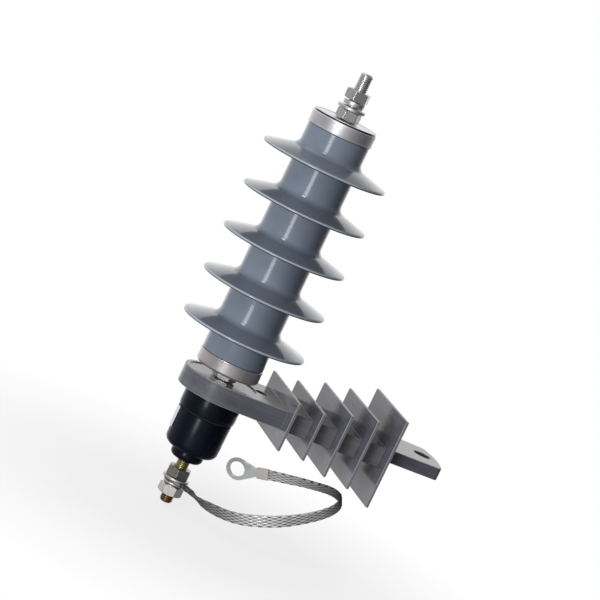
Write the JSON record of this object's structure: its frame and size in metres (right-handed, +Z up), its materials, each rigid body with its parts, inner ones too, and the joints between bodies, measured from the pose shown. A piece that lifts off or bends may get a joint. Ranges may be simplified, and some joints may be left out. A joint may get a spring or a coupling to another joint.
{
  "type": "distribution surge arrester",
  "caption": "Polymer-housed distribution surge arrester with sheds, on a finned insulating bracket, with a ground lead disconnector and a flat braided earth lead.",
  "frame": {"origin": "the crossarm seat: a point on the upper face of the bracket's tongue, between the last fin and the bolt hole", "axes": "+Z up along the arrester's axis, towards the line terminal; +X along the bracket's arm, from the arrester to the tongue's end"},
  "size_m": [0.2368, 0.1209, 0.3593],
  "materials": {
    "silicone": "satin blue-grey silicone rubber",
    "cap_aluminium": "turned satin aluminium",
    "zinc_plate": "bright zinc plate",
    "moulding": "dark grey moulded polyester with glass, satin",
    "black_plastic": "glossy blue-black moulding",
    "seal_rubber": "black rubber seal",
    "yellow_plate": "yellow passivated zinc plate",
    "resistor_ceramic": "unglazed buff ceramic",
    "tinned_copper": "tinned copper, braided or pressed",
    "label_film": "blank self-adhesive label",
    "fibreglass": "resin-bonded glass fibre",
    "varistor_ceramic": "dark zinc oxide ceramic",
    "aluminium": "bare aluminium",
    "spring_steel": "spring steel"
  },
  "bodies": {
    "root": {"silicone_housing": "silicone", "top_cap": "cap_aluminium", "bottom_cap": "cap_aluminium", "line_stud": "zinc_plate", "line_lower_nut": "zinc_plate", "line_flat_washer": "zinc_plate", "line_spring_washer": "zinc_plate", "line_upper_nut": "zinc_plate", "coupling_stud": "zinc_plate", "seat_nut": "zinc_plate", "earth_inner_nut": "zinc_plate", "earth_flat_washer": "zinc_plate", "earth_spring_washer": "zinc_plate", "earth_outer_nut": "zinc_plate", "insulating_bracket": "moulding", "disconnector_lid": "black_plastic", "disconnector_cup": "black_plastic", "disconnector_seal": "seal_rubber", "threaded_insert": "yellow_plate", "contact_plate": "yellow_plate", "trip_cartridge": "yellow_plate", "earth_stud": "yellow_plate", "grading_resistor": "resistor_ceramic", "earth_lead": "tinned_copper", "lead_fixed_lug": "tinned_copper", "lead_free_lug": "tinned_copper", "blank_label": "label_film", "fibreglass_tube": "fibreglass", "varistor_disc_1": "varistor_ceramic", "varistor_disc_2": "varistor_ceramic", "varistor_disc_3": "varistor_ceramic", "varistor_disc_4": "varistor_ceramic", "varistor_disc_5": "varistor_ceramic", "lower_contact_plate": "aluminium", "upper_contact_plate": "aluminium", "aluminium_spacer": "aluminium", "lower_disc_spring": "spring_steel", "upper_disc_spring": "spring_steel"}
  },
  "joints": []
}
